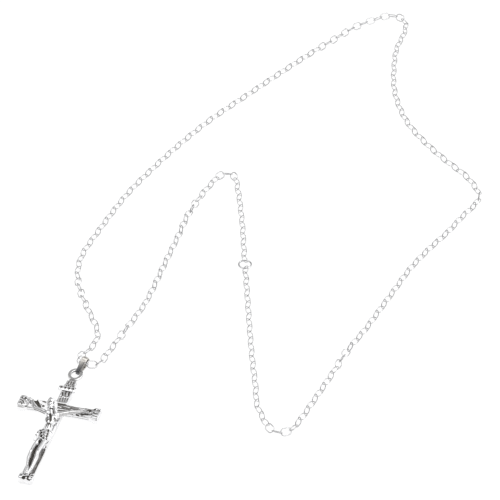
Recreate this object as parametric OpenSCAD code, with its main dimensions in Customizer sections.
// Crucifix pendant on a cable chain, laid out on a flat surface.
// Millimetres, +Z up, the surface is z = 0 and the origin is the middle of the whole layout.

/* [Cross] */
// From the middle of the crossing down to the foot
foot_reach = 23.2; // [21:0.1:26]
// From the middle of the crossing out to the end of each arm
arm_reach = 8.9; // [8:0.1:10]
// Width of both beams
beam_width = 2.5; // [2.2:0.1:3]
// Thickness of both beams
beam_depth = 1.5; // [1.2:0.1:2]
// How far the log ends stand out on each side
log_flare = 0.35; // [0.1:0.05:0.5]
// Width of the title plate
plate_width = 3.9; // [3.2:0.1:4.6]
// Thickness of the wire of the eye
eye_wire = 0.6; // [0.5:0.01:0.62]

/* [Figure] */
// Thickness of the arms at the shoulder
arm_thick = 1.0; // [0.8:0.05:1.2]
// Thickness of the legs at the thigh
leg_thick = 1.35; // [1.1:0.05:1.5]
// Width of the head with its hair
head_width = 2.2; // [1.9:0.05:2.5]

/* [Bail] */
// Inner radius of the bail where the chain runs
bail_top_radius = 1.4; // [1.35:0.05:1.5]
// Inner radius of the bail at the eye
bail_low_radius = 0.58; // [0.56:0.01:0.62]
// Thickness of the strip
bail_strip = 0.3; // [0.25:0.05:0.35]
// Width of the strip at the top
bail_top_width = 1.3; // [1:0.05:1.5]
// Width of the strip at the eye
bail_low_width = 0.75; // [0.6:0.05:0.75]

/* [Chain] */
// Outer length of a link
link_length = 3.1; // [3.08:0.01:3.14]
// Outer width of a link
link_width = 2.3; // [2.2:0.05:2.35]
// Thickness of the wire of a link
link_wire = 0.4; // [0.36:0.01:0.42]
// Number of links in the whole chain
link_count = 246; // [244:2:248]
// Outer diameter of the jump ring
ring_outer = 3.2; // [3:0.05:3.4]

/* [Hidden] */
silver = [0.78, 0.79, 0.8];

// Middle of the whole layout, which is moved to the origin
middle = [-0.43, -1.39];
// Where the cross lies: middle of the crossing, and its turn from the Y axis
cross_at = [-42.9, -64.6];
cross_turn = -15;
// Beam above the crossing, plate and stub, measured up from the middle of the crossing
plate_low = 5.1;
plate_high = 6.35;
plate_raise = 0.55;
stub_top = 8.9;
stub_width = 2.2;
log_length = 1.3;
// Grooves of the wood grain, side by side on the beams and on the stub
groove_size = 0.2;
beam_grooves = [-0.75, -0.15, 0.55];
stub_grooves = [-0.6, 0, 0.6];
// Raised lozenges in a row on the plate
lozenge_side = 0.45;
lozenge_raise = 0.1;
lozenge_count = 4;
// The eye is an oval: middle, half width and half height to the middle of its wire
eye_middle = 11.35;
eye_half = [1.27, 1.57];
eye_height = 1.1;

// Body points of the figure: across, along and above the back of the cross
neck = [-0.5, -3.1, 2.7];
head = [-0.75, -1.75, 3.3];
chin = [-0.75, -2.9, 3.5];
shoulder_l = [-1.5, -3.6, 2.5];
shoulder_r = [0.9, -4.0, 2.5];
elbow_l = [-4.1, -2.2, 2.2];
elbow_r = [3.5, -2.1, 2.2];
wrist_l = [-5.7, -0.5, 1.9];
wrist_r = [5.9, -0.35, 1.9];
palm_l = [-6.7, 0.5, 1.75];
palm_r = [6.9, 0.3, 1.75];
shoulders = [-0.25, -3.95, 2.4];
chest = [-0.1, -5.3, 2.5];
waist = [0.1, -7.9, 2.25];
hips = [0.15, -9.9, 2.2];
hem = [0.15, -12.1, 2.2];
knot = [-1.3, -9.9, 2.5];
knot_end = [-1.5, -11.6, 2.1];
knee_l = [-0.75, -16.4, 2.7];
knee_r = [0.8, -16.2, 2.65];
ankle_l = [-0.35, -20.2, 2.1];
ankle_r = [0.3, -20.4, 2.2];
toes_l = [-0.35, -22, 1.8];
toes_r = [0.2, -22.3, 1.95];
thigh_l = [-0.55, -12.1, 2.2];
thigh_r = [0.7, -12.1, 2.15];

// Width, height and depth of the body's rounded sections
head_size = [head_width, 2.7, 2.5];
chin_size = [head_width * 0.7, 1.3, 1.5];
shoulders_size = [3.3, 1.3, 1.5];
chest_size = [2.7, 2.2, 1.9];
ribs_size = [2.5, 2.4, 1.8];
waist_size = [1.8, 1.6, 1.4];
hips_size = [2.5, 1.6, 1.7];
cloth_size = [2.8, 1.4, 1.9];
hem_size = [2.9, 1.2, 1.8];
knot_size = [1, 1.2, 1.2];
knot_end_size = [0.8, 0.9, 0.8];
neck_thick = 1.1;
neck_root_thick = 1.3;

// Where the bail lies: middle of its wide end, its turn, slope and tilt
bail_at = [-38.2, -50.45, 1.87];
bail_turn = -30.7;
bail_slope = 20;
bail_tilt = 13;
bail_reach = 2.4;

// Way of the chain on the surface, with the lift where it runs through the bail.
// It starts and ends at the jump ring.
route = [
    [-3.7, -15.4, 0], [-3.3, -24, 0], [-2.9, -33, 0], [-2.5, -41.5, 0], [-2, -50, 0],
    [-1.4, -57.5, 0], [-1.2, -63, 0], [-0.2, -66.5, 0], [1.1, -70.2, 0], [2.4, -71.8, 0],
    [3.9, -72.2, 0], [5.4, -71.8, 0], [6.6, -70.5, 0], [8.5, -67, 0], [11.7, -60.2, 0],
    [15.1, -53, 0], [18.5, -45.5, 0],
    [22.4, -38.7, 0], [26, -31.5, 0], [29.5, -24.5, 0], [33.1, -17.3, 0], [37.4, -10.5, 0],
    [42.1, -4, 0], [46.4, 2.8, 0], [48.9, 6.2, 0], [50.1, 9.9, 0], [49, 13.7, 0],
    [47.2, 17.5, 0], [42.8, 23.5, 0], [38.5, 30.3, 0], [35, 37.4, 0], [32.9, 45, 0],
    [32, 53, 0], [32.3, 61, 0], [33.2, 69, 0], [35.2, 75.5, 0], [35.9, 79.2, 0],
    [35, 82.6, 0], [32.2, 83.9, 0], [29, 82.5, 0], [23.6, 79, 0], [17.6, 72.9, 0],
    [12, 67, 0], [4.1, 58, 0], [-3.7, 49, 0], [-11.5, 40, 0], [-18.6, 30.3, 0],
    [-25.1, 20.2, 0], [-31.2, 9.5, 0], [-37.4, -4.8, 0], [-40.2, -12.3, 0], [-41, -18.5, 0],
    [-40.2, -24.8, 0], [-37.8, -32.5, 0], [-35.8, -38.5, 0], [-36.1, -42.5, 0], [-37.5, -45.2, 0],
    [-39.1, -47.4, 0.15], [-39.5, -49.2, 0.65], [-38.4, -50.7, 1], [-36.7, -51, 0.7],
    [-35.2, -50, 0.2], [-34, -47.8, 0], [-30.6, -40.4, 0], [-27, -32.7, 0], [-25, -27.5, 0],
    [-21, -13.1, 0], [-18.8, -5.4, 0], [-16.8, 2.3, 0], [-13.9, 9.8, 0], [-12, 13.6, 0],
    [-10.5, 16.5, 0], [-9.6, 18, 0], [-8, 18.6, 0], [-6.5, 18, 0], [-5.7, 16.2, 0],
    [-5.5, 13, 0], [-5.1, 9.8, 0], [-4.3, -1.2, 0], [-4, -9.2, 0],
    [-3.7, -15.4, 0]];
// Number of the route point in the middle of the bail
bail_point = 59;
// Roll of the links along the way: millimetres from the jump ring and degrees
roll_table = [[0, 45], [12, 25], [45, 25], [60, 45], [75, 45], [100, 8], [195, 8], [225, 45],
    [255, 45], [280, 5], [360, 5], [385, 45], [405, 45], [420, 10], [455, 10], [468, 45], [520, 45]];
// Steps on each stretch between two route points
steps = 12;
rest_gap = 0.05;
ring_play = 0.1;
body_facets = 20;
limb_facets = 14;

lozenge_row = plate_width - 0.5;
ring_mean = (ring_outer - link_wire) / 2;
link_mean = (link_width - link_wire) / 2;
link_straight = link_length - link_width;
half_count = link_count / 2;

function route_point(i) = route[min(max(i, 0), len(route) - 1)];
function blend(a, b, c, d, t) = 0.5 * (2 * b + (c - a) * t + (2 * a - 5 * b + 4 * c - d) * t * t
    + (3 * b - a - 3 * c + d) * t * t * t);
way = [for (i = [0:len(route) - 2], k = [0:steps - 1])
    blend(route_point(i - 1), route_point(i), route_point(i + 1), route_point(i + 2), k / steps),
    route[len(route) - 1]];
function sum_to(list, i = 0, total = 0) =
    i >= len(list) - 1 ? [total] : concat([total], sum_to(list, i + 1, total + norm(list[i + 1] - list[i])));
way_length = sum_to(way);
whole = way_length[len(way) - 1];
at_bail = way_length[bail_point * steps];
table_x = [for (i = [0:len(way) - 1]) [way_length[i], way[i][0]]];
table_y = [for (i = [0:len(way) - 1]) [way_length[i], way[i][1]]];
table_lift = [for (i = [0:len(way) - 1]) [way_length[i], way[i][2]]];

// The first joint lies inside the jump ring, and one link is centred in the bail
ring_joint = ring_mean - (link_length - link_wire - (whole / (link_count + 1))) / 2 - ring_play;
bail_link = round((at_bail - ring_joint) / (whole / (link_count + 1)) - 0.5);
pitch_out = (at_bail - ring_joint) / (bail_link + 0.5);
pitch_in = (whole - ring_joint - at_bail) / (link_count - bail_link - 0.5);
function joint_way(i) = i <= bail_link ? ring_joint + i * pitch_out
    : at_bail + (i - bail_link - 0.5) * pitch_in;

function roll_at(s) = lookup(s, roll_table);
function axis_height(s) = rest_gap + link_wire / 2 + lookup(s, table_lift)
    + link_mean * max(abs(sin(roll_at(s))), abs(cos(roll_at(s))));
function joint(i) = let (s = joint_way(i)) [lookup(s, table_x), lookup(s, table_y), axis_height(s)];

// Moves the layout so that its middle is the origin
module laid() {
    color(silver) translate([-middle[0], -middle[1], 0]) children();
}

// Round bar with a ball at each end, the two ends of different thickness
module limb(a, b, thick_a, thick_b) {
    hull() {
        translate(a) sphere(d = thick_a, $fn = limb_facets);
        translate(b) sphere(d = thick_b, $fn = limb_facets);
    }
}

// Rounded lump of given width, height and depth
module lump(at, size) {
    hull() translate(at) scale(size) sphere(d = 1, $fn = body_facets);
}

// Length of the body between two rounded sections of given width, height and depth
module body_part(from, size_from, to, size_to) {
    hull() {
        translate(from) scale(size_from) sphere(d = 1, $fn = body_facets);
        translate(to) scale(size_to) sphere(d = 1, $fn = body_facets);
    }
}

// Beam from the crossing to a log end that stands out a little on each side
module beam(reach) {
    translate([-beam_width / 2, -beam_width / 2, 0])
        cube([beam_width, reach + beam_width / 2 - log_length / 2, beam_depth]);
    hull() {
        translate([-beam_width / 2, reach - log_length, 0]) cube([beam_width, 0.1, beam_depth]);
        translate([-beam_width / 2 - log_flare, reach - log_length / 2, 0])
            cube([beam_width + 2 * log_flare, log_length / 2, beam_depth + log_flare / 2]);
    }
}

// Long shallow groove of the wood grain, in the top face of a beam
module groove(across, from, to) {
    translate([across, from, beam_depth]) rotate([0, 45, 0])
        translate([-groove_size / 2, 0, -groove_size / 2]) cube([groove_size, to - from, groove_size]);
}

module beams() {
    difference() {
        union() {
            beam(plate_low + beam_width);
            rotate([0, 0, 180]) beam(foot_reach);
            rotate([0, 0, 90]) beam(arm_reach);
            rotate([0, 0, -90]) beam(arm_reach);
        }
        for (across = beam_grooves) {
            rotate([0, 0, 180]) groove(across, beam_width, foot_reach - log_length);
            rotate([0, 0, 90]) groove(across, beam_width / 2, arm_reach - log_length);
            rotate([0, 0, -90]) groove(across, beam_width / 2, arm_reach - log_length);
        }
    }
}

// Plate with a row of plain lozenges, the grained stub above it and the eye
module plate() {
    translate([-plate_width / 2, plate_low, 0])
        cube([plate_width, plate_high - plate_low, beam_depth + plate_raise]);
    for (i = [0:lozenge_count - 1])
        translate([((i + 0.5) / lozenge_count - 0.5) * lozenge_row, (plate_low + plate_high) / 2,
            beam_depth + plate_raise]) rotate([0, 0, 45])
                cube([lozenge_side, lozenge_side, 2 * lozenge_raise], center = true);
}

module stub_and_eye() {
    difference() {
        translate([-stub_width / 2, plate_high - 0.2, 0])
            cube([stub_width, stub_top - plate_high + 0.2, beam_depth]);
        for (across = stub_grooves) groove(across, plate_high, stub_top);
    }
    translate([0, stub_top, eye_height]) scale([1, 0.8, 0.9]) sphere(r = 1, $fn = body_facets);
    translate([0, eye_middle, eye_height]) scale([eye_half[0], eye_half[1], 1])
        rotate_extrude($fn = 40) translate([1, 0])
            scale([1 / eye_half[0], 1]) circle(d = eye_wire, $fn = 14);
}

// One arm, from the shoulder over the elbow to the open hand
module arm(shoulder, elbow, wrist, palm) {
    limb(shoulder, elbow, arm_thick * 1.1, arm_thick * 0.85);
    limb(elbow, wrist, arm_thick * 0.85, arm_thick * 0.6);
    limb(wrist, palm, arm_thick * 0.6, arm_thick * 0.75);
}

// One leg, from the cloth over the knee to the toes
module leg(top, knee, ankle, toes) {
    limb(top, knee, leg_thick * 1.05, leg_thick * 0.85);
    limb(knee, ankle, leg_thick * 0.85, leg_thick * 0.55);
    limb(ankle, toes, leg_thick * 0.55, leg_thick * 0.5);
}

module figure() {
    lump(head, head_size);
    lump(chin, chin_size);
    limb(neck, chest, neck_thick, neck_root_thick);
    body_part(shoulders, shoulders_size, chest, chest_size);
    body_part(chest, ribs_size, waist, waist_size);
    body_part(waist, waist_size, hips, hips_size);
    body_part(hips, cloth_size, hem, hem_size);
    body_part(knot, knot_size, knot_end, knot_end_size);
    arm(shoulder_l, elbow_l, wrist_l, palm_l);
    arm(shoulder_r, elbow_r, wrist_r, palm_r);
    leg(thigh_l, knee_l, ankle_l, toes_l);
    leg(thigh_r, knee_r, ankle_r, toes_r);
}

module crucifix() {
    laid() translate([cross_at[0], cross_at[1], 0]) rotate([0, 0, cross_turn]) {
        beams();
        plate();
        stub_and_eye();
        figure();
    }
}

// Drop shape between two circles, with the straight flanks that touch both
module drop(top_radius, low_radius) {
    lean = asin((top_radius - low_radius) / bail_reach);
    circle(r = top_radius, $fn = 64);
    translate([0, -bail_reach]) circle(r = low_radius, $fn = 48);
    polygon([[-top_radius * cos(lean), -top_radius * sin(lean)],
        [-low_radius * cos(lean), -bail_reach - low_radius * sin(lean)],
        [low_radius * cos(lean), -bail_reach - low_radius * sin(lean)],
        [top_radius * cos(lean), -top_radius * sin(lean)]]);
}

module bail() {
    low_end = -bail_reach - bail_low_radius - bail_strip;
    high_end = bail_top_radius + bail_strip;
    laid() translate(bail_at) rotate([bail_slope, 0, bail_turn])
        rotate([0, bail_tilt, 0]) intersection() {
            rotate([0, 90, 0]) linear_extrude(bail_top_width, center = true)
                difference() {
                    drop(bail_top_radius + bail_strip, bail_low_radius + bail_strip);
                    drop(bail_top_radius, bail_low_radius);
                }
            linear_extrude(4 * bail_top_radius, center = true)
                polygon([[-bail_low_width / 2, low_end], [bail_low_width / 2, low_end],
                    [bail_top_width / 2, 0], [bail_top_width / 2, high_end],
                    [-bail_top_width / 2, high_end], [-bail_top_width / 2, 0]]);
        }
}

module jump_ring() {
    laid() translate([route[0][0], route[0][1], axis_height(0)])
        rotate_extrude($fn = 48) translate([ring_mean, 0]) circle(d = link_wire, $fn = 24);
}

// One oval link: two round ends and two straight sides, long way along X
module link() {
    for (side = [-1, 1]) {
        translate([0, side * link_mean, 0]) rotate([0, 90, 0])
            cylinder(d = link_wire, h = link_straight, center = true, $fn = 24);
        translate([side * link_straight / 2, 0, 0]) rotate([0, 0, side > 0 ? -90 : 90])
            rotate_extrude(angle = 180, $fn = 48) translate([link_mean, 0])
                circle(d = link_wire, $fn = 24);
    }
}

// The links from number first to number last, every second one turned a quarter
module links(first, last) {
    for (i = [first:last]) {
        a = joint(i);
        b = joint(i + 1);
        along = b - a;
        flat = norm([along[0], along[1]]);
        translate((a + b) / 2) rotate([0, -atan2(along[2], flat), atan2(along[1], along[0])])
            rotate([roll_at(joint_way(i)) + (i % 2) * 90, 0, 0]) link();
    }
}

module chain_right() {
    laid() links(0, half_count - 1);
}

module chain_left() {
    laid() links(half_count, link_count - 1);
}

crucifix();
bail();
jump_ring();
chain_right();
chain_left();
